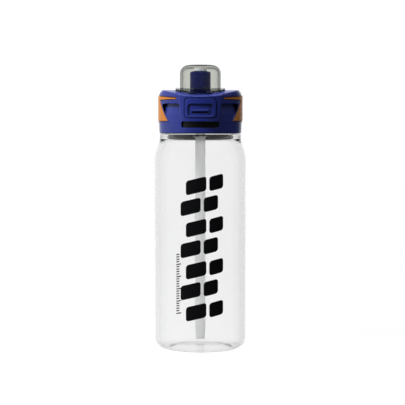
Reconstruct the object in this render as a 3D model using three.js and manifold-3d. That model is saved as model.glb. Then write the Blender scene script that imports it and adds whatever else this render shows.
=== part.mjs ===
// Clear sports bottle: screw lid, push-button flip dome, spout and straw.
// Millimetres. +Z is up, the base stands on z = 0 and the button faces -Y.
import * as THREE from 'three';
import Module from 'manifold-3d';
import { mergeVertices } from 'three/addons/utils/BufferGeometryUtils.js';

const wasm = await Module();
wasm.setup();

// ---------- driving sizes ----------
const GAP = 0.3; // between pieces that touch
const RUNNING_GAP = 0.1; // radial, pin in its knuckles
const ROUND = 60;
const LID_ROUND = 72;

const BODY_RADIUS = 36.5;
const BODY_HEIGHT = 150; // top of the straight wall
const BODY_WALL = 3.2;
const NECK_WALL = 1.8;
const FLOOR_WALL = 1.8;
const FOOT_RING = 1.8; // width of the flat ring that it stands on
const BASE_CORNER = 9.5;
const FOOT_RADIUS = 27;
const PUSH_UP = 3.5;
const SHOULDER_HEIGHT = 15;
const COLLAR_HEIGHT = 5.5;

const LID_RADIUS = BODY_RADIUS - 3.2;
const LID_HEIGHT = 34.4;
const LID_TOP_WALL = 2.2;
const LID_SIDE_WALL = 2;
const LID_BEVEL = 3; // sloping rim round the lid's top
const ARCH_DROP = 5.2; // how far the arched top falls by the front and back rim

const THREAD_TURNS = 1.25;
const THREAD_DEPTH = 1.1;
const CAP_WALL = 1.5;
const DECK_WALL = 2.5;
const PLUG_WALL = 1.6;
const PLUG_LIFT = 0.6; // plug seal's lower edge above the lid's lower edge

const BUTTON_WIDTH = 24.3;
const BUTTON_RIM = 7.6; // button's upper edge below the top of the lid

const DOME_RADIUS = 16.2;
const DOME_WALL = 1.5;
const DOME_HEIGHT = 20.1; // above the top of the lid
const FLANGE_HALF = 19.55;
const FLANGE_BACK = 24;
const FLANGE_THICK = 1.6;
const TAB_HALF = 9.2;
const PIN_RADIUS = 0.9;

const SPOUT_RADIUS = 8.2;
const SPOUT_BORE = 3.2;
const SPOUT_RISE = 14.7; // above the top of the lid
const STRAW_RADIUS = 4;
const STRAW_WALL = 0.9;
const STRAW_FOOT = 8; // straw's lower end above the table

// ---------- sizes that follow from them ----------
const COLLAR_BASE = BODY_HEIGHT + SHOULDER_HEIGHT;
const COLLAR_TOP = COLLAR_BASE + COLLAR_HEIGHT;
const LID_BASE = COLLAR_TOP + GAP;
const LID_TOP = LID_BASE + LID_HEIGHT;
const COLLAR_RADIUS = LID_RADIUS - 1;
const SHELL_BORE = LID_RADIUS - LID_SIDE_WALL;
const CAP_RADIUS = SHELL_BORE - GAP;
const CAP_ROOT = CAP_RADIUS - CAP_WALL;
const CAP_CREST = CAP_ROOT - THREAD_DEPTH;
const NECK_CREST = CAP_ROOT - GAP;
const NECK_RADIUS = CAP_CREST - GAP;
const NECK_BORE = NECK_RADIUS - NECK_WALL;
const SEAL_RADIUS = NECK_BORE - GAP;
const PLUG_RADIUS = SEAL_RADIUS - 1.8;
const DECK_HEIGHT = LID_HEIGHT * 0.3547; // deck's underside above the lid's lower edge
const THREAD_PITCH = (DECK_HEIGHT - 7.2) / THREAD_TURNS;
const DECK_LOW = LID_BASE + DECK_HEIGHT;
const DECK_TOP = DECK_LOW + DECK_WALL;
const NECK_TOP = DECK_LOW - 2;
const SEAL_LOW = LID_BASE + PLUG_LIFT;
const BLOCK_RADIUS = LID_RADIUS + 2.3;
const BUTTON_RADIUS = LID_RADIUS + 2.8;
const BUTTON_BACK = LID_RADIUS - 0.3;
const BUTTON_LOW = LID_HEIGHT * 0.3518;
const BUTTON_TALL = LID_HEIGHT - BUTTON_LOW - BUTTON_RIM;
const BUTTON_BASE = LID_BASE + BUTTON_LOW;
const BUTTON_MIDDLE = BUTTON_BASE + BUTTON_TALL / 2;
const HINGE_Y = LID_RADIUS - 4.3;
const HINGE_Z = archZ(HINGE_Y) + GAP + FLANGE_THICK / 2;
const KNUCKLE_RADIUS = 2.2;
const KNUCKLE_HALF = 5.2;
const EAR_THICK = 2.8;
const HOOK_Y = -(LID_RADIUS - 4.8);
const HOOK_HALF = 4.5;
const BAY = LID_TOP - DECK_TOP; // room for the latch and button spring
const HOOK_LOW = DECK_TOP + BAY * 0.405;

// height of the lid's arched top at a distance y from the bottle's axis
function archZ(y, lift = 0) {
  return LID_TOP + lift - ARCH_DROP * (y / LID_RADIUS) ** 2;
}

// ---------- solids from three.js geometry ----------
function toSolid(geometry) {
  geometry.deleteAttribute('normal');
  geometry.deleteAttribute('uv');
  const merged = mergeVertices(geometry, 1e-4);
  const points = merged.attributes.position;
  const corners = [0, 1, 2].map(() => new THREE.Vector3());
  const kept = [];
  let volume = 0;
  for (let i = 0; i < merged.index.count; i += 3) {
    const triangle = [0, 1, 2].map((k) => merged.index.getX(i + k));
    if (new Set(triangle).size < 3) continue;
    triangle.forEach((v, k) => corners[k].fromBufferAttribute(points, v));
    volume += corners[0].dot(corners[1].clone().cross(corners[2]));
    kept.push(triangle);
  }
  const outward = volume > 0 ? kept : kept.map(([a, b, c]) => [a, c, b]);
  return new wasm.Manifold(new wasm.Mesh({
    numProp: 3,
    vertProperties: new Float32Array(points.array),
    triVerts: new Uint32Array(outward.flat()),
  }));
}

function toGeometry(solid) {
  const mesh = solid.getMesh();
  const geometry = new THREE.BufferGeometry();
  const points = new Float32Array(mesh.vertProperties);
  geometry.setAttribute('position', new THREE.BufferAttribute(points, 3));
  geometry.setIndex(new THREE.BufferAttribute(new Uint32Array(mesh.triVerts), 1));
  geometry.computeVertexNormals();
  return geometry;
}

function turned(profile, segments = ROUND) {
  const points = profile.map(([r, z]) => new THREE.Vector2(r, z));
  const geometry = new THREE.LatheGeometry(points, segments);
  geometry.rotateX(Math.PI / 2);
  return toSolid(geometry);
}

// a turned loop: the last point joins the first
function turnedLoop(profile, segments = ROUND) {
  return turned([...profile, profile[0]], segments);
}

function disc(radius, z0, z1, segments = ROUND) {
  return turned([[0, z0], [radius, z0], [radius, z1], [0, z1]], segments);
}

function ring(inner, outer, z0, z1, segments = ROUND) {
  return turnedLoop([[inner, z0], [outer, z0], [outer, z1], [inner, z1]], segments);
}

function prism(outline, length) {
  const shape = new THREE.Shape(outline.map(([u, v]) => new THREE.Vector2(u, v)));
  return new THREE.ExtrudeGeometry(shape, { depth: length, bevelEnabled: false });
}

// outline in x and z, carried along Y
function alongY(outline, y0, y1) {
  const geometry = prism(outline, y1 - y0);
  geometry.rotateX(Math.PI / 2);
  geometry.translate(0, y1, 0);
  return toSolid(geometry);
}

// outline in y and z, carried along X
function alongX(outline, x0, x1) {
  const geometry = prism(outline, x1 - x0);
  const basis = new THREE.Matrix4().makeBasis(
    new THREE.Vector3(0, 1, 0),
    new THREE.Vector3(0, 0, 1),
    new THREE.Vector3(1, 0, 0),
  );
  geometry.applyMatrix4(basis);
  geometry.translate(x0, 0, 0);
  return toSolid(geometry);
}

// outline in x and y, carried up through the whole lid
function upright(outline) {
  const geometry = prism(outline, LID_HEIGHT + 40);
  geometry.translate(0, 0, LID_BASE);
  return toSolid(geometry);
}

function block(x0, x1, y0, y1, z0, z1) {
  const geometry = new THREE.BoxGeometry(x1 - x0, y1 - y0, z1 - z0);
  geometry.translate((x0 + x1) / 2, (y0 + y1) / 2, (z0 + z1) / 2);
  return toSolid(geometry);
}

function rodAlongX(radius, x0, x1, y, z, segments = 24) {
  const geometry = new THREE.CylinderGeometry(radius, radius, x1 - x0, segments);
  geometry.rotateZ(Math.PI / 2);
  geometry.translate((x0 + x1) / 2, y, z);
  return toSolid(geometry);
}

function mirrorX(solid) {
  return solid.mirror([1, 0, 0]);
}

// ---------- outlines ----------
function arc(cu, cv, radius, from, to, steps) {
  const points = [];
  for (let i = 0; i <= steps; i += 1) {
    const a = THREE.MathUtils.degToRad(from + ((to - from) * i) / steps);
    points.push([cu + radius * Math.cos(a), cv + radius * Math.sin(a)]);
  }
  return points;
}

function roundedRectangle(cu, cv, width, tall, corner, steps = 5) {
  const u = width / 2 - corner;
  const v = tall / 2 - corner;
  return [
    ...arc(cu + u, cv + v, corner, 0, 90, steps),
    ...arc(cu - u, cv + v, corner, 90, 180, steps),
    ...arc(cu - u, cv - v, corner, 180, 270, steps),
    ...arc(cu + u, cv - v, corner, 270, 360, steps),
  ];
}

// the same outline with every edge moved out by a distance
function grown(outline, distance) {
  const count = outline.length;
  let area = 0;
  outline.forEach(([u, v], i) => {
    const [p, q] = outline[(i + 1) % count];
    area += u * q - p * v;
  });
  const side = Math.sign(area) * distance;
  const edges = outline.map(([u, v], i) => {
    const [p, q] = outline[(i + 1) % count];
    const length = Math.hypot(p - u, q - v);
    const n = [(q - v) / length, -(p - u) / length];
    return { n, reach: n[0] * u + n[1] * v + side };
  });
  return outline.map((point, i) => {
    const a = edges[(i + count - 1) % count];
    const b = edges[i];
    const det = a.n[0] * b.n[1] - a.n[1] * b.n[0];
    return [
      (a.reach * b.n[1] - b.reach * a.n[1]) / det,
      (b.reach * a.n[0] - a.reach * b.n[0]) / det,
    ];
  });
}

// everything between two heights that follow the arched top
function archSlab(low, high, halfX, y0, y1) {
  const steps = 28;
  const ys = Array.from({ length: steps + 1 }, (_, i) => y0 + ((y1 - y0) * i) / steps);
  const top = ys.map((y) => [y, archZ(y, high)]);
  const bottom = ys.map((y) => [y, low === null ? LID_BASE - 20 : archZ(y, low)]);
  return alongX([...top.reverse(), ...bottom], -halfX, halfX);
}

// ---------- thread: a tapered ridge carried round a helix ----------
// baseShare and crestShare are half the ridge's width, as shares of the pitch
function threadRidge(root, crest, baseShare, crestShare, zStart, turnStart) {
  const baseHalf = baseShare * THREAD_PITCH;
  const crestHalf = crestShare * THREAD_PITCH;
  const steps = Math.round(THREAD_TURNS * 40);
  const positions = [];
  for (let i = 0; i <= steps; i += 1) {
    const turn = turnStart + (THREAD_TURNS * i) / steps;
    const a = turn * 2 * Math.PI;
    const z = zStart + THREAD_PITCH * turn;
    const fade = Math.min(1, 0.25 + Math.min(i, steps - i) / 4);
    const tip = root + (crest - root) * fade;
    const buried = root - Math.sign(crest - root) * 0.5;
    const section = [
      [buried, -baseHalf],
      [root, -baseHalf],
      [tip, -crestHalf],
      [tip, crestHalf],
      [root, baseHalf],
      [buried, baseHalf],
    ];
    section.forEach(([r, h]) => positions.push(r * Math.cos(a), r * Math.sin(a), z + h));
  }
  const sides = 6;
  const index = [];
  for (let i = 0; i < steps; i += 1) {
    for (let k = 0; k < sides; k += 1) {
      const a = i * sides + k;
      const b = i * sides + ((k + 1) % sides);
      index.push(a, b, b + sides, a, b + sides, a + sides);
    }
  }
  const last = steps * sides;
  for (let k = 1; k < sides - 1; k += 1) {
    index.push(0, k + 1, k, last, last + k, last + k + 1);
  }
  const geometry = new THREE.BufferGeometry();
  geometry.setAttribute('position', new THREE.Float32BufferAttribute(positions, 3));
  geometry.setIndex(index);
  return toSolid(geometry);
}

// ---------- springs: round wire carried along a coil ----------
class CoilCurve extends THREE.Curve {
  // legs are straight and leave the coil along a tangent, square to its axis
  constructor(radius, rise, turns, startLeg, endLeg) {
    super();
    Object.assign(this, { radius, rise, turns, startLeg, endLeg });
    this.coil = 2 * Math.PI * radius * turns;
    this.total = startLeg + this.coil + endLeg;
  }

  getPoint(t) {
    const s = t * this.total - this.startLeg;
    const on = Math.min(Math.max(s, 0), this.coil);
    const a = (on / this.coil) * this.turns * 2 * Math.PI;
    const off = s - on;
    return new THREE.Vector3(
      this.radius * Math.cos(a) - off * Math.sin(a),
      this.radius * Math.sin(a) + off * Math.cos(a),
      (this.rise * on) / this.coil - this.rise / 2,
    );
  }
}

function wire(curve, radius, steps) {
  const section = new THREE.Shape(arc(0, 0, radius, 0, 300, 5).map((p) => new THREE.Vector2(...p)));
  return new THREE.ExtrudeGeometry(section, { steps, extrudePath: curve, bevelEnabled: false });
}

// ---------- bottle body ----------
const footInner = FOOT_RADIUS - FOOT_RING;
const shoulderIn = BODY_RADIUS - COLLAR_RADIUS;
const shoulder = Array.from({ length: 7 }, (_, i) => {
  const t = i / 6;
  return [BODY_RADIUS - shoulderIn * t ** 1.6, BODY_HEIGHT + SHOULDER_HEIGHT * t];
});
// inside, the shoulder closes to the neck's bore as one smooth funnel
const funnelTop = LID_BASE + 1.2;
const funnelIn = BODY_RADIUS - BODY_WALL - NECK_BORE;
const funnel = Array.from({ length: 9 }, (_, i) => {
  const t = 1 - i / 8;
  const share = 1.5 * t ** 1.6 - 0.5 * t ** 3;
  return [BODY_RADIUS - BODY_WALL - funnelIn * share, BODY_HEIGHT + (funnelTop - BODY_HEIGHT) * t];
});
// the wall thins round the corner to the floor's thickness
const innerCorner = arc(0, 0, 1, 0, -80, 6).map(([across, up]) => [
  BODY_RADIUS - BASE_CORNER + across * (BASE_CORNER - BODY_WALL),
  BASE_CORNER + up * (BASE_CORNER - FLOOR_WALL),
]);
const bodyProfile = [
  [0, PUSH_UP],
  [footInner * 0.35, PUSH_UP * 0.93],
  [footInner * 0.7, PUSH_UP * 0.62],
  [footInner * 0.92, PUSH_UP * 0.2],
  [footInner, 0],
  [FOOT_RADIUS, 0],
  ...arc(BODY_RADIUS - BASE_CORNER, BASE_CORNER, BASE_CORNER, -90, 0, 6).slice(1),
  ...shoulder,
  [COLLAR_RADIUS, COLLAR_TOP - 0.5],
  [COLLAR_RADIUS - 0.5, COLLAR_TOP],
  [NECK_RADIUS, COLLAR_TOP],
  [NECK_RADIUS, NECK_TOP - 0.4],
  [NECK_RADIUS - 0.4, NECK_TOP],
  [NECK_BORE + 0.4, NECK_TOP],
  [NECK_BORE, NECK_TOP - 0.4],
  ...funnel,
  ...innerCorner,
  [footInner * 0.92, PUSH_UP * 0.2 + FLOOR_WALL * 1.1],
  [footInner * 0.7, PUSH_UP * 0.62 + FLOOR_WALL],
  [footInner * 0.35, PUSH_UP * 0.93 + FLOOR_WALL],
  [0, PUSH_UP + FLOOR_WALL],
];
const threadLow = LID_BASE + 2.4;
const neckThread = threadRidge(NECK_RADIUS, NECK_CREST, 0.25, 0.125, threadLow, 0);
const bottleBody = turned(bodyProfile).add(neckThread);

// ---------- sealing pieces and threaded inner cap ----------
const neckGasket = ring(PLUG_RADIUS + GAP, NECK_RADIUS, NECK_TOP + GAP, DECK_LOW - GAP);

const plugLow = SEAL_LOW + 0.5;
const capProfile = [
  [6, DECK_TOP],
  [CAP_RADIUS, DECK_TOP],
  [CAP_RADIUS, LID_BASE + 0.4],
  [CAP_ROOT, LID_BASE + 0.4],
  [CAP_ROOT, DECK_LOW],
  [PLUG_RADIUS, DECK_LOW],
  [PLUG_RADIUS, plugLow],
  [PLUG_RADIUS - PLUG_WALL, plugLow],
  [PLUG_RADIUS - PLUG_WALL, DECK_LOW],
  [6, DECK_LOW],
];
const capThreadLow = threadLow - THREAD_PITCH / 2;
const capThread = threadRidge(CAP_ROOT, CAP_CREST, 0.225, 0.1125, capThreadLow, 0.25);
const SPRING_Z = DECK_TOP + BAY * 0.151;
const SPRING_RADIUS = BAY * 0.083;
const POST_Y = HOOK_Y + 5.3;
const VENT_Y = 15;
const postTop = SPRING_Z + SPRING_RADIUS + 0.4;
const springPost = block(-3.2, 3.2, POST_Y - 1, POST_Y + 1, DECK_TOP - 1, postTop);
const innerCap = turnedLoop(capProfile)
  .add(capThread)
  .add(springPost)
  .subtract(disc(1.9, DECK_LOW - 1, DECK_TOP + 1, 24).translate(0, VENT_Y, 0));

const SEAL_IN = PLUG_RADIUS + GAP;
const plugSeal = turnedLoop([
  [SEAL_IN, SEAL_LOW],
  [SEAL_RADIUS - 0.3, SEAL_LOW],
  [SEAL_RADIUS, SEAL_LOW + 0.6],
  [SEAL_RADIUS, SEAL_LOW + 1.6],
  [SEAL_RADIUS - 0.5, SEAL_LOW + 2.2],
  [SEAL_RADIUS, SEAL_LOW + 2.8],
  [SEAL_RADIUS, SEAL_LOW + 3.8],
  [SEAL_RADIUS - 0.5, SEAL_LOW + 4.4],
  [SEAL_RADIUS - 0.5, SEAL_LOW + 5.6],
  [SEAL_IN, SEAL_LOW + 5.6],
], 48);

const ventValve = turned([
  [0, DECK_LOW - 2.1],
  [2, DECK_LOW - 1.8],
  [2.4, DECK_LOW - 1],
  [2.4, DECK_LOW - GAP],
  [1.6, DECK_LOW - GAP],
  [1.6, DECK_TOP + GAP],
  [3.8, DECK_TOP + GAP],
  [3.5, DECK_TOP + 1.3],
  [0, DECK_TOP + 1.6],
], 24).translate(0, VENT_Y, 0);

// ---------- straw and its holder ----------
const HOLDER_BORE = STRAW_RADIUS + GAP;
const HOLDER_RADIUS = 6 - GAP;
const strawTop = DECK_LOW - 2;
const strawHolder = turnedLoop([
  [HOLDER_BORE, SEAL_LOW],
  [HOLDER_RADIUS, SEAL_LOW],
  [HOLDER_RADIUS, strawTop],
  [8, strawTop],
  [8, DECK_LOW - GAP],
  [HOLDER_RADIUS, DECK_LOW - GAP],
  [HOLDER_RADIUS, DECK_TOP],
  [SPOUT_BORE, DECK_TOP],
  [SPOUT_BORE, strawTop + GAP],
  [HOLDER_BORE, strawTop + GAP],
], 36);
const strawBore = STRAW_RADIUS - STRAW_WALL;
const straw = turnedLoop([
  [strawBore, strawTop],
  [STRAW_RADIUS, strawTop],
  [STRAW_RADIUS, STRAW_FOOT + 9],
  [STRAW_RADIUS - 0.7, STRAW_FOOT],
  [strawBore - 0.7, STRAW_FOOT],
  [strawBore, STRAW_FOOT + 9],
], 36);

// ---------- spout ----------
const SPOUT_TOP = LID_TOP + SPOUT_RISE;
const spout = turnedLoop([
  [SPOUT_BORE, DECK_TOP + GAP],
  [SPOUT_RADIUS + 2.2, DECK_TOP + GAP],
  [SPOUT_RADIUS + 2.2, DECK_TOP + 2.1],
  [SPOUT_RADIUS, DECK_TOP + 2.1],
  ...arc(SPOUT_RADIUS - 1.2, SPOUT_TOP - 1.2, 1.2, 0, 90, 4),
  ...arc(SPOUT_BORE + 0.8, SPOUT_TOP - 0.8, 0.8, 90, 180, 3),
], 40);
const SEAT_Z = archZ(SPOUT_RADIUS + 2.8) - 0.2;
const spoutSeal = turnedLoop([
  [SPOUT_RADIUS + GAP, SEAT_Z + GAP],
  [SPOUT_RADIUS + 2.5, SEAT_Z + GAP],
  [SPOUT_RADIUS + 2.5, SEAT_Z + 1.5],
  [SPOUT_RADIUS + 2, SEAT_Z + 2],
  [SPOUT_RADIUS + GAP, SEAT_Z + 2],
], 48);

// ---------- lid shell ----------
const FAR = LID_RADIUS + 12;
const shellOuter = turned([
  [0, LID_BASE],
  [LID_RADIUS - 1.3, LID_BASE],
  [LID_RADIUS - 0.9, LID_BASE + 0.6],
  [LID_RADIUS - 0.6, LID_BASE + LID_HEIGHT * 0.25],
  [LID_RADIUS, LID_BASE + LID_HEIGHT * 0.273],
  [LID_RADIUS, LID_TOP - LID_HEIGHT * 0.3],
  [LID_RADIUS - LID_BEVEL * 0.1, LID_TOP - LID_BEVEL * 1.7],
  [LID_RADIUS - LID_BEVEL * 0.4, LID_TOP - LID_BEVEL * 0.8],
  [LID_RADIUS - LID_BEVEL, LID_TOP],
  [LID_RADIUS - LID_BEVEL * 1.4, LID_TOP + 1],
  [0, LID_TOP + 1],
], LID_ROUND).intersect(archSlab(null, 0, FAR, -FAR, FAR));

// raised block round the button, widening upwards and joined to the front rim
const blockLow = LID_BASE + LID_HEIGHT * 0.262;
const blockOutline = [
  ...arc(-12.2, blockLow + 3, 3, 180, 270, 5),
  ...arc(12.2, blockLow + 3, 3, 270, 360, 5),
  [17.4, LID_TOP],
  [-17.4, LID_TOP],
];
const frontBlock = alongY(blockOutline, -FAR, -LID_RADIUS * 0.6)
  .intersect(disc(BLOCK_RADIUS, LID_BASE, LID_TOP + 1, LID_ROUND))
  .intersect(archSlab(null, 0, FAR, -FAR, FAR));

const cavity = disc(SHELL_BORE, LID_BASE - 1, LID_TOP + 1, LID_ROUND)
  .intersect(archSlab(null, -LID_TOP_WALL, FAR, -FAR, FAR));

const buttonHole = roundedRectangle(
  0, BUTTON_MIDDLE, BUTTON_WIDTH + 2 * GAP, BUTTON_TALL + 2 * GAP, 2.6 + GAP,
);
const buttonPocket = alongY(buttonHole, -FAR, -LID_RADIUS * 0.75);

// finger notch through the lower band under the block, with the inner cap behind it
const notchTall = LID_HEIGHT * 0.13;
const notchOutline = roundedRectangle(0, blockLow - notchTall / 2, 29, notchTall, notchTall * 0.3);
const notch = alongY(notchOutline, -FAR, -LID_RADIUS * 0.6)
  .intersect(ring(SHELL_BORE - 0.1, FAR, LID_BASE, LID_TOP, LID_ROUND));

// sunk panel between the block and the inlay, deepest under the brow above it
const PANEL_DEPTH = 2.8;
const PANEL_SHALLOW = 1; // how deep it is where the inner cap ends behind it
const panelLow = LID_BASE + LID_HEIGHT * 0.245;
const panelHigh = LID_BASE + LID_HEIGHT * 0.675;
const panelOutline = [
  [0.36, 0.245],
  [0.74, 0.245],
  [0.8, 0.385],
  [0.85, 0.5],
  [0.895, 0.66],
  [0.8, 0.675],
  [0.36, 0.655],
].map(([across, up]) => [across * LID_RADIUS, LID_BASE + up * LID_HEIGHT]);
const sunkFrom = DECK_TOP + GAP;
const panelDeep = turnedLoop([
  [LID_RADIUS - 0.5, panelLow],
  [FAR, panelLow],
  [FAR, panelHigh + 0.4],
  [LID_RADIUS - PANEL_DEPTH, panelHigh + 0.4],
  [LID_RADIUS - PANEL_DEPTH, panelHigh - 1.6],
  [LID_RADIUS - PANEL_SHALLOW, sunkFrom],
], LID_ROUND);
const panel = alongY(panelOutline, -FAR, 0).intersect(panelDeep);
// the wall is as thick behind the panel as beside it
const panelBack = alongY(grown(panelOutline, 1.5), -FAR, 0).intersect(turnedLoop([
  [SHELL_BORE - PANEL_SHALLOW, sunkFrom],
  [SHELL_BORE + 0.5, sunkFrom],
  [SHELL_BORE + 0.5, panelHigh + 2],
  [SHELL_BORE - PANEL_DEPTH, panelHigh + 2],
  [SHELL_BORE - PANEL_DEPTH, panelHigh - 1.6],
], LID_ROUND));

// side inlay: a triangle below and a prong above, the same towards the back
const inlayHalf = [
  [0.81, 0.8],
  [0.81, 0.778],
  [0.27, 0.765],
  [0.62, 0.288],
];
const inlayOutline = [
  [0, LID_BASE + LID_HEIGHT * 0.872],
  ...inlayHalf.map(([back, up]) => [-back * LID_RADIUS, LID_BASE + up * LID_HEIGHT]),
  ...inlayHalf.map(([back, up]) => [back * LID_RADIUS, LID_BASE + up * LID_HEIGHT]).reverse(),
];
const INLAY_FLOOR = LID_RADIUS - 1.2;
const inlayNear = LID_RADIUS * 0.53;
const inlayPocket = alongX(grown(inlayOutline, GAP), inlayNear, FAR)
  .intersect(ring(INLAY_FLOOR, FAR, LID_BASE, LID_TOP, LID_ROUND));
const inlayRight = alongX(inlayOutline, inlayNear, FAR)
  .intersect(ring(INLAY_FLOOR + GAP, LID_RADIUS + 0.15, LID_BASE, LID_TOP, LID_ROUND));
const inlayLeft = mirrorX(inlayRight);

// hinge ears at the back rim
const earIn = KNUCKLE_HALF + GAP;
const earOut = earIn + EAR_THICK;
const ear = rodAlongX(2.4, earIn, earOut, HINGE_Y, HINGE_Z, 32)
  .add(block(earIn, earOut, HINGE_Y - 2.35, HINGE_Y + 2, archZ(HINGE_Y) - 2, HINGE_Z));

const latchSlot = block(
  -HOOK_HALF - 0.5, HOOK_HALF + 0.5, HOOK_Y - 2, HOOK_Y + 3, LID_TOP - 11, LID_TOP + 1,
);
const lidShell = shellOuter
  .subtract(cavity)
  .add(panelBack)
  .add(mirrorX(panelBack))
  .subtract(panel)
  .subtract(mirrorX(panel))
  .add(frontBlock.subtract(cavity))
  .add(ear)
  .add(mirrorX(ear))
  .subtract(buttonPocket)
  .subtract(notch)
  .subtract(inlayPocket)
  .subtract(mirrorX(inlayPocket))
  .subtract(latchSlot)
  .subtract(disc(SPOUT_RADIUS + 0.4, LID_TOP - 8, LID_TOP + 1, 48))
  .subtract(disc(SPOUT_RADIUS + 2.8, SEAT_Z, LID_TOP + 1, 48))
  .subtract(rodAlongX(KNUCKLE_RADIUS + 0.4, -earIn, earIn, HINGE_Y, HINGE_Z, 32))
  .subtract(rodAlongX(PIN_RADIUS + RUNNING_GAP, -earOut - 1, earOut + 1, HINGE_Y, HINGE_Z));

// ---------- push button ----------
const buttonPlate = alongY(
  roundedRectangle(0, BUTTON_MIDDLE, BUTTON_WIDTH, BUTTON_TALL, 2.6), -FAR, -LID_RADIUS * 0.75,
).intersect(ring(BUTTON_BACK, BUTTON_RADIUS, LID_BASE, LID_TOP, LID_ROUND));
const recessZ = BUTTON_BASE + BUTTON_TALL * 0.4;
const recessOutline = roundedRectangle(
  0, recessZ, BUTTON_WIDTH - 5, BUTTON_TALL * 0.64, BUTTON_TALL * 0.15,
);
const buttonRecess = alongY(recessOutline, -FAR, -10)
  .intersect(ring(BUTTON_RADIUS - 1.3, FAR, LID_BASE, LID_TOP, LID_ROUND));
const slotZ = BUTTON_BASE + BUTTON_TALL * 0.265;
const slotTall = BUTTON_TALL * 0.095;
const slotOutline = roundedRectangle(0, slotZ, BUTTON_WIDTH - 11.3, slotTall, slotTall * 0.4, 3);
const buttonSlot = alongY(slotOutline, -FAR, -10)
  .intersect(ring(BUTTON_RADIUS - 2.3, FAR, LID_BASE, LID_TOP, LID_ROUND));
const ledgeOutline = roundedRectangle(
  0, slotZ + slotTall * 1.1, BUTTON_WIDTH - 10.9, slotTall * 0.93, slotTall * 0.36, 3,
);
const gripLedge = alongY(ledgeOutline, -FAR, -10)
  .intersect(ring(BUTTON_RADIUS - 2, BUTTON_RADIUS - 0.5, LID_BASE, LID_TOP, LID_ROUND));
const armIn = HOOK_HALF + 1.7;
const armOut = armIn + 1.8;
const barFront = HOOK_Y + 2.7;
const armFront = -(BUTTON_BACK - 0.2);
const armZ = [HOOK_LOW - BAY * 0.112, HOOK_LOW + BAY * 0.09];
const arm = block(armIn, armOut, armFront, barFront + 1, ...armZ)
  .subtract(disc(FAR, LID_BASE, LID_TOP, LID_ROUND).subtract(disc(BUTTON_BACK + 0.6, 0, LID_TOP)));
const pushButton = buttonPlate
  .subtract(buttonRecess)
  .subtract(buttonSlot)
  .add(gripLedge)
  .add(arm)
  .add(mirrorX(arm))
  .add(block(-armOut, armOut, barFront, barFront + 1.8, ...armZ));

const springFront = -(BUTTON_BACK - 0.6);
const springBack = POST_Y - 1.6;
const springLong = springBack - springFront;
const buttonSpringGeometry = wire(new CoilCurve(SPRING_RADIUS, springLong, 6, 0, 0), 0.25, 72);
buttonSpringGeometry.rotateX(Math.PI / 2);
buttonSpringGeometry.translate(0, (springFront + springBack) / 2, SPRING_Z);

// ---------- dome ----------
const DOME_CORNER = 6.5;
const domeTop = LID_TOP + DOME_HEIGHT;
const cornerZ = domeTop - DOME_CORNER - 0.4;
const DOME_ROUND = 48;
const domeOuter = turned([
  [0, LID_BASE],
  [DOME_RADIUS, LID_BASE],
  ...arc(DOME_RADIUS - DOME_CORNER, cornerZ, DOME_CORNER, 0, 84, 8),
  [0, domeTop],
], DOME_ROUND);
const domeInner = turned([
  [0, LID_BASE],
  [DOME_RADIUS - DOME_WALL, LID_BASE],
  ...arc(DOME_RADIUS - DOME_CORNER, cornerZ, DOME_CORNER - DOME_WALL, 0, 84, 7),
  [0, domeTop - DOME_WALL],
], DOME_ROUND);
const flangeFront = LID_RADIUS - 5.3;
const tabFront = LID_RADIUS - 1.9;
const flangeLong = flangeFront + FLANGE_BACK;
const flangeMiddle = (FLANGE_BACK - flangeFront) / 2;
const flange = upright(roundedRectangle(0, flangeMiddle, 2 * FLANGE_HALF, flangeLong, 14, 8))
  .add(upright(roundedRectangle(0, -tabFront / 2, 2 * TAB_HALF, tabFront, 2)))
  .add(upright(roundedRectangle(0, HINGE_Y / 2, 2 * KNUCKLE_HALF, HINGE_Y, 0.5, 2)))
  .intersect(archSlab(GAP, GAP + FLANGE_THICK, FAR, -FAR, FAR))
  .subtract(upright(roundedRectangle(0, 1.6 - tabFront, 2 * TAB_HALF - 4, 0.9, 0.4, 3))
    .intersect(archSlab(GAP + 1, 20, FAR, -FAR, FAR)));
const hookBack = HOOK_Y + 0.85;
const hook = block(-HOOK_HALF, HOOK_HALF, HOOK_Y - 0.8, hookBack, HOOK_LOW, archZ(HOOK_Y, 1.2))
  .add(alongX([
    [hookBack - 0.2, HOOK_LOW],
    [hookBack + 0.5, HOOK_LOW],
    [hookBack + 1.5, HOOK_LOW + 1],
    [hookBack + 1.5, HOOK_LOW + 1.6],
    [hookBack - 0.2, HOOK_LOW + 1.6],
  ], -HOOK_HALF, HOOK_HALF));
const springBay = 2.5;
const knuckle = rodAlongX(KNUCKLE_RADIUS, springBay, KNUCKLE_HALF, HINGE_Y, HINGE_Z, 32);
const domeCover = domeOuter
  .intersect(archSlab(GAP, 60, FAR, -FAR, FAR))
  .add(flange)
  .subtract(domeInner)
  .add(hook)
  .subtract(block(-springBay, springBay, HINGE_Y - 4.5, HINGE_Y + 4, HINGE_Z - 6, HINGE_Z + 6))
  .add(knuckle)
  .add(mirrorX(knuckle))
  .subtract(rodAlongX(PIN_RADIUS + RUNNING_GAP, -earOut, earOut, HINGE_Y, HINGE_Z));

const stopperTop = domeTop - DOME_WALL - 0.5;
const domeStopper = turned([
  [0, SPOUT_TOP - 1],
  [2, SPOUT_TOP - 1],
  [2.4, SPOUT_TOP - 0.6],
  [2.4, SPOUT_TOP + 0.4],
  [5.2, SPOUT_TOP + 0.4],
  [5.2, stopperTop - 0.6],
  [4.6, stopperTop],
  [0, stopperTop],
], 36);

const hingePin = rodAlongX(PIN_RADIUS, -earOut + 0.1, earOut - 0.1, HINGE_Y, HINGE_Z);
const domeSpringGeometry = wire(new CoilCurve(1.5, 3.2, 4, 1.2, 3), 0.28, 60);
domeSpringGeometry.rotateY(Math.PI / 2);
domeSpringGeometry.rotateX(Math.PI / 2);
domeSpringGeometry.translate(0, HINGE_Y, HINGE_Z);

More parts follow.
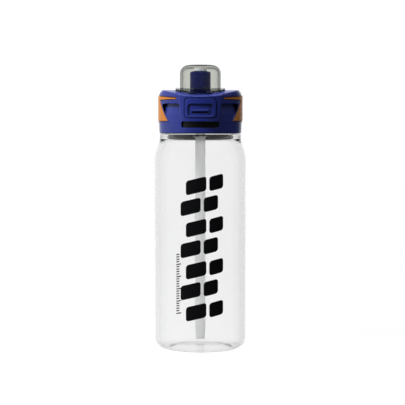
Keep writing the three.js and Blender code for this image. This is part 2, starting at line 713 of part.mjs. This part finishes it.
// ---------- finishes ----------
function finish(color, roughness, metalness = 0, opacity = 1) {
  return { color, roughness, metalness, opacity, transparent: opacity < 1 };
}
const CLEAR = finish('#e9ecec', 0.08, 0, 0.3);
const SMOKE = finish('#b9beba', 0.08, 0, 0.45);
const BLUE = finish('#2e3b92', 0.38);
const NAVY = finish('#10164e', 0.45);
const ORANGE = finish('#e8932f', 0.4);
const BLACK = finish('#15161a', 0.6);
const MILKY = finish('#c8cacb', 0.5, 0, 0.8);
const STEEL = finish('#b4b7ba', 0.3, 0.9);

const group = new THREE.Group();
group.name = 'sports_bottle';
function piece(name, solid, look) {
  const geometry = solid.isBufferGeometry ? toGeometry(toSolid(solid)) : toGeometry(solid);
  const mesh = new THREE.Mesh(geometry, new THREE.MeshStandardMaterial(look));
  mesh.name = name;
  group.add(mesh);
}

piece('bottle_body', bottleBody, CLEAR);
piece('neck_gasket', neckGasket, MILKY);
piece('inner_cap', innerCap, BLACK);
piece('plug_seal', plugSeal, BLACK);
piece('vent_valve', ventValve, MILKY);
piece('straw_holder', strawHolder, BLACK);
piece('straw', straw, MILKY);
piece('lid_shell', lidShell, BLUE);
piece('side_inlay_right', inlayRight, ORANGE);
piece('side_inlay_left', inlayLeft, ORANGE);
piece('spout', spout, NAVY);
piece('spout_seal', spoutSeal, BLACK);
piece('push_button', pushButton, BLUE);
piece('button_spring', buttonSpringGeometry, STEEL);
piece('dome_cover', domeCover, SMOKE);
piece('dome_stopper', domeStopper, MILKY);
piece('hinge_pin', hingePin, STEEL);
piece('dome_spring', domeSpringGeometry, STEEL);

export default group;
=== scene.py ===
import math

import bmesh
import bpy
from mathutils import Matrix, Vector


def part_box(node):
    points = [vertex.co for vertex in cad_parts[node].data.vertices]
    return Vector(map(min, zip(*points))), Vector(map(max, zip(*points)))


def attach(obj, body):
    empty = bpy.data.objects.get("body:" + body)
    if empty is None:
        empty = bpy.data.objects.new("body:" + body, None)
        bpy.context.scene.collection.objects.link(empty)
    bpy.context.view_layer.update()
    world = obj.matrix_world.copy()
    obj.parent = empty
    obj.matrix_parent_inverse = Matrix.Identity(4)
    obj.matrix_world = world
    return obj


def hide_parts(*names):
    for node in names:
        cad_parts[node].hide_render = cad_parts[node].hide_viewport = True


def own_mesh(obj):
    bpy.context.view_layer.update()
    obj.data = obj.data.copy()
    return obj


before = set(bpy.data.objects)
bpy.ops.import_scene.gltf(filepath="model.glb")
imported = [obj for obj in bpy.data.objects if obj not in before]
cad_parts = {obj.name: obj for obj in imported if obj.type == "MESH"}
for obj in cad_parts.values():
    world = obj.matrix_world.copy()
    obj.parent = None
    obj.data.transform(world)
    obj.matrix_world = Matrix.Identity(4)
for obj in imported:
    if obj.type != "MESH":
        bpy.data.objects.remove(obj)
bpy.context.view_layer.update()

# ---------------------------------------------------------------- bottle body
# A clear copolyester bottle, stretch-blown, so its wall is glass-clear with
# slow waves in it. It stands on a ring round a pushed-up base, and the neck
# inside the lid has the thread.
WALL_WAVE_MM = 38.0
WALL_HAZE_MM = 9.0
BODY_TINT = "#f9f9f9"
BODY_EDGE_PAINTED_SHADE = "#ececec"
BODY_LOSS_PER_M = 4.5
SEAM_ANGLE = 32  # faces that meet at more than this keep a hard edge


def linear(code):
    """An sRGB hex code as linear red, green, blue and full alpha."""
    shares = [int(code[i : i + 2], 16) / 255 for i in (1, 3, 5)]
    return [s / 12.92 if s <= 0.04045 else ((s + 0.055) / 1.055) ** 2.4 for s in shares] + [1.0]


def add(tree, kind, joins=None, **settings):
    """One node with its settings. joins gives inputs a number, a colour or an output."""
    made = tree.nodes.new("ShaderNode" + kind)
    for name, value in settings.items():
        setattr(made, name, value)
    for name, value in (joins or {}).items():
        if isinstance(value, bpy.types.NodeSocket):
            tree.links.new(value, made.inputs[name])
        else:
            made.inputs[name].default_value = value
    return made


def started(name):
    """A new material and its empty node tree."""
    material = bpy.data.materials.new(name)
    material.use_nodes = True
    material.node_tree.nodes.clear()
    return material, material.node_tree


def grain(tree, size_mm, detail=2.0, stretch=(1, 1, 1)):
    """A noise of that size in millimetres, fixed to the moulded piece."""
    place = add(tree, "TexCoord")
    spread = add(tree, "Mapping", {"Vector": place.outputs["Object"], "Scale": stretch})
    joins = {"Vector": spread.outputs[0], "Scale": 1000 / size_mm, "Detail": detail}
    return add(tree, "TexNoise", joins).outputs["Fac"]


def dress(name, material):
    """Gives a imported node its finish, with smooth faces between its real edges."""
    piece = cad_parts[name]
    for slot in piece.material_slots:
        slot.material = material
    if "custom_normal" in piece.data.attributes:
        piece.data.attributes.remove(piece.data.attributes["custom_normal"])
    piece.data.shade_smooth()
    weld = piece.modifiers.new("weld", "WELD")
    weld.merge_threshold = 2e-6
    edges = piece.modifiers.new("edges", "EDGE_SPLIT")
    edges.split_angle = math.radians(SEAM_ANGLE)
    return piece


# Copolyester blown against a polished mould: clear and glossy. The tint is
# greyer where the wall is seen edge-on: painted shade at its edges.
clear_copolyester, tree = started("clear_copolyester")
wave = grain(tree, WALL_WAVE_MM, 1.0, (1, 1, 0.35))
ripple = add(tree, "Bump", {"Height": wave, "Strength": 0.03, "Distance": 0.0001})
haze = add(tree, "MapRange", {"Value": grain(tree, WALL_HAZE_MM), "To Min": 0.015, "To Max": 0.05})
# painted shade: the tint turns greyer where the wall is seen edge-on
edge = add(tree, "LayerWeight", {"Blend": 0.5})
tone = add(tree, "ValToRGB", {"Fac": edge.outputs["Facing"]})
tone.color_ramp.elements[0].position = 0.3
tone.color_ramp.elements[0].color = linear(BODY_TINT)
tone.color_ramp.elements[1].position = 0.75
tone.color_ramp.elements[1].color = linear(BODY_EDGE_PAINTED_SHADE)
shader = add(tree, "BsdfPrincipled", {
    "Base Color": tone.outputs[0],
    "Roughness": haze.outputs[0],
    "IOR": 1.42,
    "Transmission Weight": 1.0,
    "Normal": ripple.outputs[0],
})
loss = add(tree, "VolumeAbsorption", {"Color": (0, 0, 0, 1), "Density": BODY_LOSS_PER_M})
add(tree, "OutputMaterial", {"Surface": shader.outputs[0], "Volume": loss.outputs[0]})
body = dress("bottle_body", clear_copolyester)
body.visible_shadow = False
BODY_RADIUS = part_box("bottle_body")[1].x

# --------------------------------------------------------------- body's print
# A bold pattern of slanted bars up the front with a fine row of ticks beside
# it, in black ink, screen printed on the wall and cured hard.
INK_THICK = 0.00007
INK_LIFT = 0.00004
BARS = 7
BAR_PITCH = 0.0163
BAR_LOW = 0.0325
BAR_HALF = 0.0056
BAR_SLANT = 0.24
BAR_CORNER = 0.0022
BAR_STAGGER = 0.0022
LONG_BAR = (-0.0135, 0.0025)  # from left to right, along the wall
SHORT_BAR = (0.0048, 0.0162)
SHORT_BAR_RISE = 0.0027
TICKS = 25
TICK_PITCH = 0.0019
TICK_LOW = 0.0315
TICK_START = -0.0195
TICK_LONG = 0.0042
TICK_SHORT = 0.0028
TICK_HALF = 0.00045
TICK_SLANT = 0.2
TICK_CORNER = 0.0003
PINHOLE_MM = 0.9
INK_SHEEN_MM = 4.0


def ink_bar(mesh, x0, x1, middle_z, half, slant, corner, steps=22):
    """One slanted bar of ink with rounded ends, curved round the body's wall."""
    inner, outer = BODY_RADIUS + INK_LIFT, BODY_RADIUS + INK_LIFT + INK_THICK
    rows = []
    for i in range(steps + 1):
        x = x0 + (x1 - x0) * (1 - math.cos(math.pi * i / steps)) / 2
        past = max(0.0, abs(x - (x0 + x1) / 2) - ((x1 - x0) / 2 - corner)) / corner
        reach = half - corner + corner * math.sqrt(max(0.0, 1 - past * past))
        z = middle_z + slant * (x - (x0 + x1) / 2)
        turn = x / BODY_RADIUS
        corners = ((inner, z - reach), (outer, z - reach), (outer, z + reach), (inner, z + reach))
        rows.append([
            mesh.verts.new((radius * math.sin(turn), -radius * math.cos(turn), height))
            for radius, height in corners
        ])
    for a, b in zip(rows, rows[1:]):
        for k in range(4):
            mesh.faces.new((a[k], b[k], b[(k + 1) % 4], a[(k + 1) % 4]))
    mesh.faces.new(rows[0])
    mesh.faces.new(reversed(rows[-1]))


def shown(name, mesh, material, body_name):
    """Turns a mesh being built into a piece that rides on a body."""
    bmesh.ops.recalc_face_normals(mesh, faces=mesh.faces)
    data = bpy.data.meshes.new(name)
    mesh.to_mesh(data)
    mesh.free()
    data.shade_smooth()
    data.set_sharp_from_angle(angle=math.radians(SEAM_ANGLE))
    data.materials.append(material)
    piece = bpy.data.objects.new(name, data)
    bpy.context.scene.collection.objects.link(piece)
    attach(piece, body_name)
    return piece


# Black screen ink: nearly flat, with the fine pinholes of the mesh that it
# went through.
black_screen_ink, tree = started("black_screen_ink")
speck = grain(tree, PINHOLE_MM, 3.0)
tone = add(tree, "ValToRGB", {"Fac": speck})
tone.color_ramp.elements[0].color = linear("#050506")
tone.color_ramp.elements[1].color = linear("#111114")
shine = add(tree, "MapRange", {"Value": grain(tree, INK_SHEEN_MM), "To Min": 0.6, "To Max": 0.75})
relief = add(tree, "Bump", {"Height": speck, "Strength": 0.2, "Distance": 0.00005})
shader = add(tree, "BsdfPrincipled", {
    "Base Color": tone.outputs[0],
    "Roughness": shine.outputs[0],
    "IOR": 1.45,
    "Specular IOR Level": 0.2,
    "Normal": relief.outputs[0],
})
add(tree, "OutputMaterial", {"Surface": shader.outputs[0]})

bars = bmesh.new()
for i in range(BARS):
    shift = BAR_STAGGER * (-1) ** i
    z = BAR_LOW + BAR_PITCH * i
    for (left, right), rise in ((LONG_BAR, 0.0), (SHORT_BAR, SHORT_BAR_RISE)):
        ink_bar(bars, left + shift, right + shift, z + rise, BAR_HALF, BAR_SLANT, BAR_CORNER)
shown("print_bars", bars, black_screen_ink, "bottle")

ticks = bmesh.new()
for i in range(TICKS):
    right = TICK_START + (TICK_LONG if i % 5 == 0 else TICK_SHORT)
    z = TICK_LOW + TICK_PITCH * i
    ink_bar(ticks, TICK_START, right, z, TICK_HALF, TICK_SLANT, TICK_CORNER, 8)
shown("print_ticks", ticks, black_screen_ink, "bottle")

# ---------------------------------------------------- gasket, vent and stopper
# Soft translucent silicone: a flat gasket on the neck's rim, a plug in the
# vent hole and the disc inside the dome that shuts the spout. It is cured in
# a plain steel mould, which leaves it cloudy and half matt.
CLOUD_MM = 3.0
SILICONE_SHEEN_MM = 1.2
milky_silicone, tree = started("milky_silicone")
cloud = add(tree, "ValToRGB", {"Fac": grain(tree, CLOUD_MM, 3.0)})
cloud.color_ramp.elements[0].color = linear("#b9bcbd")
cloud.color_ramp.elements[1].color = linear("#d2d4d4")
shine = add(tree, "MapRange", {"Value": grain(tree, SILICONE_SHEEN_MM), "To Min": 0.4, "To Max": 0.58})
shader = add(tree, "BsdfPrincipled", {
    "Base Color": cloud.outputs[0],
    "Roughness": shine.outputs[0],
    "IOR": 1.41,
    "Subsurface Weight": 0.35,
    "Subsurface Scale": 0.002,
})
add(tree, "OutputMaterial", {"Surface": shader.outputs[0]})
for name in ("neck_gasket", "vent_valve", "dome_stopper"):
    dress(name, milky_silicone)

# ------------------------------------------------------------------ inner cap
# Threaded inner cap of black polypropylene, pressed into the lid. Its plug
# tube reaches down into the neck, with a ribbed seal round it. The mould is
# blasted, so the black is matt with a fine texture.
CAP_FLOW_MM = 6.0
CAP_TEXTURE_MM = 0.5
black_polypropylene, tree = started("black_polypropylene")
tone = add(tree, "ValToRGB", {"Fac": grain(tree, CAP_FLOW_MM, 3.0)})
tone.color_ramp.elements[0].color = linear("#101114")
tone.color_ramp.elements[1].color = linear("#1c1d20")
spark = grain(tree, CAP_TEXTURE_MM)
relief = add(tree, "Bump", {"Height": spark, "Strength": 0.25, "Distance": 0.00004})
shine = add(tree, "MapRange", {"Value": spark, "To Min": 0.42, "To Max": 0.58})
shader = add(tree, "BsdfPrincipled", {
    "Base Color": tone.outputs[0],
    "Roughness": shine.outputs[0],
    "IOR": 1.49,
    "Normal": relief.outputs[0],
})
add(tree, "OutputMaterial", {"Surface": shader.outputs[0]})
dress("inner_cap", black_polypropylene)

# ------------------------------------------------- plug seal and straw holder
# Black silicone: the plug seal, the socket that grips the straw and the lip
# round the spout. It is moulded soft and matt, and holds a little dust.
DUST_MM = 1.6
black_silicone, tree = started("black_silicone")
dust = grain(tree, DUST_MM, 4.0)
tone = add(tree, "ValToRGB", {"Fac": dust})
tone.color_ramp.elements[0].color = linear("#0c0d0f")
tone.color_ramp.elements[1].color = linear("#1a1b1d")
relief = add(tree, "Bump", {"Height": dust, "Strength": 0.2, "Distance": 0.00005})
shader = add(tree, "BsdfPrincipled", {
    "Base Color": tone.outputs[0],
    "Roughness": 0.62,
    "IOR": 1.41,
    "Sheen Weight": 0.15,
    "Sheen Roughness": 0.5,
    "Normal": relief.outputs[0],
})
add(tree, "OutputMaterial", {"Surface": shader.outputs[0]})
for name in ("plug_seal", "straw_holder", "spout_seal"):
    dress(name, black_silicone)

# ---------------------------------------------------------------------- straw
# An extruded tube of natural polypropylene, milky and faintly streaked along
# its length by the die. It is pushed up into the holder and tapers at its foot.
STREAK_MM = 1.4
STRAW_SHEEN_MM = 5.0
natural_polypropylene, tree = started("natural_polypropylene")
streak = grain(tree, STREAK_MM, stretch=(1, 1, 0.02))
tone = add(tree, "ValToRGB", {"Fac": streak})
tone.color_ramp.elements[0].color = linear("#f4f5f5")
tone.color_ramp.elements[1].color = linear("#fcfcfc")
relief = add(tree, "Bump", {"Height": streak, "Strength": 0.05, "Distance": 0.00005})
shine = add(tree, "MapRange", {"Value": grain(tree, STRAW_SHEEN_MM), "To Min": 0.28, "To Max": 0.42})
shader = add(tree, "BsdfPrincipled", {
    "Base Color": tone.outputs[0],
    "Roughness": shine.outputs[0],
    "IOR": 1.3,
    "Transmission Weight": 0.8,
    "Normal": relief.outputs[0],
})
add(tree, "OutputMaterial", {"Surface": shader.outputs[0]})
dress("straw", natural_polypropylene)

# ------------------------------------------------------- lid shell and button
# Lid shell and push button, moulded in satin blue ABS from one mould texture.
# The shell is pressed over the inner cap and the button slides in its window.
SHELL_DETAIL_MM = 0.35
BUTTON_DETAIL_MM = 0.25
KEPT_SHARE = 0.4  # of the fine faces, which is plenty once they are smoothed
MOULD_TEXTURE_MM = 0.45
BLUE_FLOW_MM = 11.0
PAINTED_SHADE_REACH = 0.007


def rounded(name, material, voxel_mm, rounds):
    """Like dress, but with edges as round as a mould leaves them."""
    piece = dress(name, material)
    piece.modifiers.remove(piece.modifiers["edges"])
    fine = piece.modifiers.new("fine", "REMESH")
    fine.mode = "VOXEL"
    fine.voxel_size = voxel_mm / 1000
    fine.use_smooth_shade = True
    ease = piece.modifiers.new("ease", "SMOOTH")
    ease.factor = 0.5
    ease.iterations = rounds
    fewer = piece.modifiers.new("fewer", "DECIMATE")
    fewer.ratio = KEPT_SHARE


# ABS from a finely blasted mould: satin and evenly coloured. Its colour is
# darkened to nearly black in closed-in recesses and gaps: painted shade.
satin_blue_abs, tree = started("satin_blue_abs")
flow = add(tree, "ValToRGB", {"Fac": grain(tree, BLUE_FLOW_MM)})
flow.color_ramp.elements[0].color = linear("#22308a")
flow.color_ramp.elements[1].color = linear("#283896")
# painted shade: ambient occlusion multiplies the base colour down to near black in recesses
recess_openness = add(tree, "AmbientOcclusion", {"Distance": PAINTED_SHADE_REACH}, samples=8)
painted_recess_shade = add(tree, "ValToRGB", {"Fac": recess_openness.outputs["AO"]})
painted_recess_shade.color_ramp.elements[0].position = 0.4
painted_recess_shade.color_ramp.elements[0].color = linear("#262626")
painted_recess_shade.color_ramp.elements[1].position = 0.85
painted_recess_shade.color_ramp.elements[1].color = linear("#ffffff")
blue_with_painted_shade = add(
    tree, "Mix", {0: 1.0, 6: flow.outputs[0], 7: painted_recess_shade.outputs[0]},
    data_type="RGBA", blend_type="MULTIPLY",
)
spark = grain(tree, MOULD_TEXTURE_MM)
shine = add(tree, "MapRange", {"Value": spark, "To Min": 0.3, "To Max": 0.44})
relief = add(tree, "Bump", {"Height": spark, "Strength": 0.18, "Distance": 0.00003})
shader = add(tree, "BsdfPrincipled", {
    "Base Color": blue_with_painted_shade.outputs[2],
    "Roughness": shine.outputs[0],
    "IOR": 1.53,
    "Coat Weight": 0.2,
    "Coat Roughness": 0.12,
    "Normal": relief.outputs[0],
})
add(tree, "OutputMaterial", {"Surface": shader.outputs[0]})
rounded("lid_shell", satin_blue_abs, SHELL_DETAIL_MM, 6)
rounded("push_button", satin_blue_abs, BUTTON_DETAIL_MM, 4)

# --------------------------------------------------------------- side inlays
# Orange ABS inlays, moulded apart from the shell and glued into the pockets
# in its sides. They have the same satin mould texture as the lid.
ORANGE_FLOW_MM = 9.0
satin_orange_abs, tree = started("satin_orange_abs")
flow = add(tree, "ValToRGB", {"Fac": grain(tree, ORANGE_FLOW_MM)})
flow.color_ramp.elements[0].color = linear("#e58a24")
flow.color_ramp.elements[1].color = linear("#ee9836")
spark = grain(tree, MOULD_TEXTURE_MM)
shine = add(tree, "MapRange", {"Value": spark, "To Min": 0.32, "To Max": 0.46})
relief = add(tree, "Bump", {"Height": spark, "Strength": 0.18, "Distance": 0.00003})
shader = add(tree, "BsdfPrincipled", {
    "Base Color": flow.outputs[0],
    "Roughness": shine.outputs[0],
    "IOR": 1.53,
    "Normal": relief.outputs[0],
})
add(tree, "OutputMaterial", {"Surface": shader.outputs[0]})
for name in ("side_inlay_right", "side_inlay_left"):
    dress(name, satin_orange_abs)

# ---------------------------------------------------- springs and hinge pin
# Drawn stainless wire: the dome's coil, the pin that it turns on and the
# button's coil. Fine die lines run along the wire.
DIE_LINE_MM = 0.5
drawn_stainless_steel, tree = started("drawn_stainless_steel")
lines = grain(tree, DIE_LINE_MM, stretch=(1, 6, 6))
tone = add(tree, "ValToRGB", {"Fac": lines})
tone.color_ramp.elements[0].color = linear("#a9acb0")
tone.color_ramp.elements[1].color = linear("#c9cbce")
shine = add(tree, "MapRange", {"Value": lines, "To Min": 0.2, "To Max": 0.36})
shader = add(tree, "BsdfPrincipled", {
    "Base Color": tone.outputs[0],
    "Metallic": 1.0,
    "Roughness": shine.outputs[0],
})
add(tree, "OutputMaterial", {"Surface": shader.outputs[0]})
for name in ("dome_spring", "hinge_pin"):
    dress(name, drawn_stainless_steel)

# The button's coil: a helix of wire along the button's travel, shown in place of the imported spring.
WIRE_RADIUS = 0.00025
COIL_TURNS = 6
COIL_STEPS = 144
WIRE_SIDES = 8
coil_low, coil_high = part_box("button_spring")
coil_radius = (coil_high.x - coil_low.x) / 2 - WIRE_RADIUS
coil_z = (coil_low.z + coil_high.z) / 2
coil_front = coil_low.y + WIRE_RADIUS
coil_back = coil_high.y - WIRE_RADIUS
coil = bmesh.new()
loops = []
for i in range(COIL_STEPS + 1):
    share = i / COIL_STEPS
    turn = 2 * math.pi * COIL_TURNS * share
    outward = Vector((math.cos(turn), 0, math.sin(turn)))
    along = coil_front + (coil_back - coil_front) * share
    middle = Vector((0, along, coil_z)) + coil_radius * outward
    loop = []
    for k in range(WIRE_SIDES):
        round_wire = 2 * math.pi * k / WIRE_SIDES
        off = outward * math.cos(round_wire) + Vector((0, 1, 0)) * math.sin(round_wire)
        loop.append(coil.verts.new(middle + WIRE_RADIUS * off))
    loops.append(loop)
for a, b in zip(loops, loops[1:]):
    for k in range(WIRE_SIDES):
        coil.faces.new((a[k], b[k], b[(k + 1) % WIRE_SIDES], a[(k + 1) % WIRE_SIDES]))
coil.faces.new(loops[0])
coil.faces.new(reversed(loops[-1]))
button_coil = shown("button_coil", coil, drawn_stainless_steel, "lid")
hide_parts("button_spring")
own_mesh(button_coil)

# ---------------------------------------------------------------------- spout
# The mouthpiece: navy polypropylene, moulded smooth for the lips, with a
# bore through it down to the straw.
NAVY_FLOW_MM = 7.0
SPOUT_SHEEN_MM = 0.8
navy_polypropylene, tree = started("navy_polypropylene")
flow = add(tree, "ValToRGB", {"Fac": grain(tree, NAVY_FLOW_MM)})
flow.color_ramp.elements[0].color = linear("#080e42")
flow.color_ramp.elements[1].color = linear("#0c124b")
shine = add(tree, "MapRange", {"Value": grain(tree, SPOUT_SHEEN_MM), "To Min": 0.3, "To Max": 0.45})
shader = add(tree, "BsdfPrincipled", {
    "Base Color": flow.outputs[0],
    "Roughness": shine.outputs[0],
    "IOR": 1.49,
    "Specular IOR Level": 0.15,
})
add(tree, "OutputMaterial", {"Surface": shader.outputs[0]})
dress("spout", navy_polypropylene)

# ----------------------------------------------------------------- dome cover
# The flip dome with its plate and latch tab: one moulding of clear
# polycarbonate, tinted slightly grey, hinged on the pin behind. Its colour
# turns dark where the surface is seen edge-on: painted shade at its edges.
DOME_WAVE_MM = 8.0
DOME_HAZE_MM = 3.0
DOME_LOSS_PER_M = 150.0
clear_grey_polycarbonate, tree = started("clear_grey_polycarbonate")
wave = grain(tree, DOME_WAVE_MM, 1.0)
ripple = add(tree, "Bump", {"Height": wave, "Strength": 0.06, "Distance": 0.0002})
haze = add(tree, "MapRange", {"Value": grain(tree, DOME_HAZE_MM), "To Min": 0.02, "To Max": 0.06})
# painted shade: the base colour darkens where the dome is seen edge-on
edge = add(tree, "LayerWeight", {"Blend": 0.5})
tone = add(tree, "ValToRGB", {"Fac": edge.outputs["Facing"]})
tone.color_ramp.elements[0].position = 0.5
tone.color_ramp.elements[0].color = linear("#f8f9f6")
tone.color_ramp.elements[1].position = 0.78
tone.color_ramp.elements[1].color = linear("#3e403c")
shader = add(tree, "BsdfPrincipled", {
    "Base Color": tone.outputs[0],
    "Roughness": haze.outputs[0],
    "IOR": 1.2,
    "Transmission Weight": 1.0,
    "Normal": ripple.outputs[0],
})
loss = add(tree, "VolumeAbsorption", {"Color": (0.03, 0.06, 0.0, 1), "Density": DOME_LOSS_PER_M})
add(tree, "OutputMaterial", {"Surface": shader.outputs[0], "Volume": loss.outputs[0]})
dome = dress("dome_cover", clear_grey_polycarbonate)
dome.visible_shadow = False

# ---------------------------------------------------------------------- stage
# A pale floor that runs out of sight in a white room. Soft light comes from
# the left, from behind and from above, and the right side of the room is dim.
FLOOR_HALF = 6.0
FLOOR_DROP = 0.0003
PAPER_GRAIN_MM = 3.0
KEY_PLACE = Vector((-0.9, -0.6, 1.15))
KEY_AIM = Vector((0, 0, 0.19))
KEY_SIDE = 0.25
KEY_WATTS = 18.0
CAMERA_PLACE = (0.0017, -1.25, 0.165)
CAMERA_DOWN = 2.24  # degrees below level
CAMERA_LENS = 140
floor_mesh = bmesh.new()
bmesh.ops.create_grid(floor_mesh, x_segments=24, y_segments=24, size=FLOOR_HALF)
floor_data = bpy.data.meshes.new("floor")
floor_mesh.to_mesh(floor_data)
floor_mesh.free()
floor = bpy.data.objects.new("floor", floor_data)
floor.location.z = -FLOOR_DROP
floor.visible_diffuse = False
floor.visible_glossy = False
bpy.context.scene.collection.objects.link(floor)

# White paper with a faint grain, evenly lit so that its edge is never seen.
white_paper, tree = started("white_paper")
tone = add(tree, "ValToRGB", {"Fac": grain(tree, PAPER_GRAIN_MM)})
tone.color_ramp.elements[0].color = linear("#5c5c5c")
tone.color_ramp.elements[1].color = linear("#606060")
shader = add(tree, "BsdfPrincipled", {
    "Base Color": tone.outputs[0],
    "Roughness": 0.9,
    "IOR": 1.2,
    "Emission Color": (1, 1, 1, 1),
    "Emission Strength": 0.93,
})
add(tree, "OutputMaterial", {"Surface": shader.outputs[0]})
floor_data.materials.append(white_paper)

room = bpy.data.worlds.new("white_room")
bpy.context.scene.world = room
room.use_nodes = True
tree = room.node_tree
tree.nodes.clear()
# what a glossy surface mirrors: a soft box on the left, one behind and one overhead
ray = add(tree, "LightPath")
toward = add(tree, "SeparateXYZ", {0: add(tree, "TexCoord").outputs["Generated"]})
side = add(tree, "MapRange", {
    "Value": toward.outputs["X"],
    "From Min": -0.95, "From Max": -0.3, "To Min": 0.75, "To Max": 0.05,
}, interpolation_type="SMOOTHSTEP")
behind = add(tree, "MapRange", {
    "Value": toward.outputs["Y"],
    "From Min": 0.72, "From Max": 0.95, "To Min": 0.0, "To Max": 1.2,
}, interpolation_type="SMOOTHSTEP")
overhead = add(tree, "MapRange", {
    "Value": toward.outputs["Z"],
    "From Min": 0.45, "From Max": 0.85, "To Min": 0.0, "To Max": 1.2,
}, interpolation_type="SMOOTHSTEP")
around = add(tree, "Math", {0: side.outputs[0], 1: behind.outputs[0]}, operation="ADD")
mirrored = add(tree, "Math", {0: around.outputs[0], 1: overhead.outputs[0]}, operation="ADD")
# what a matt surface feels: a little more from above than from below
fill = add(tree, "MapRange", {
    "Value": toward.outputs["Z"],
    "From Min": -1.0, "From Max": 1.0, "To Min": 0.04, "To Max": 0.24,
})
strength = add(tree, "Mix", {
    0: ray.outputs["Is Diffuse Ray"], 2: mirrored.outputs[0], 3: fill.outputs[0],
})
felt = add(tree, "Background", {"Color": (0.95, 0.97, 1, 1), "Strength": strength.outputs[0]})
# what the camera sees directly or through clear plastic: plain white
seen = add(tree, "Background", {"Color": (1, 1, 1, 1), "Strength": 1.01})
looked_at = add(
    tree, "Math",
    {0: ray.outputs["Is Camera Ray"], 1: ray.outputs["Is Transmission Ray"]},
    operation="MAXIMUM",
)
both = add(tree, "MixShader", {0: looked_at.outputs[0], 1: felt.outputs[0], 2: seen.outputs[0]})
add(tree, "OutputWorld", {"Surface": both.outputs[0]})

key = bpy.data.lights.new("key_left", "AREA")
key.shape = "SQUARE"
key.size = KEY_SIDE
key.energy = KEY_WATTS
key_holder = bpy.data.objects.new("key_left", key)
key_holder.location = KEY_PLACE
key_holder.rotation_euler = (KEY_AIM - KEY_PLACE).to_track_quat("-Z", "Y").to_euler()
key_holder.visible_glossy = False
key_holder.visible_transmission = False
bpy.context.scene.collection.objects.link(key_holder)

camera_data = bpy.data.cameras.new("camera")
camera_data.lens = CAMERA_LENS
camera_data.sensor_width = 36
camera_data.clip_start = 0.02
camera = bpy.data.objects.new("camera", camera_data)
camera.location = CAMERA_PLACE
camera.rotation_euler = (math.radians(90 - CAMERA_DOWN), 0, 0)
bpy.context.scene.collection.objects.link(camera)
bpy.context.scene.camera = camera
bpy.context.scene.view_settings.view_transform = "Standard"
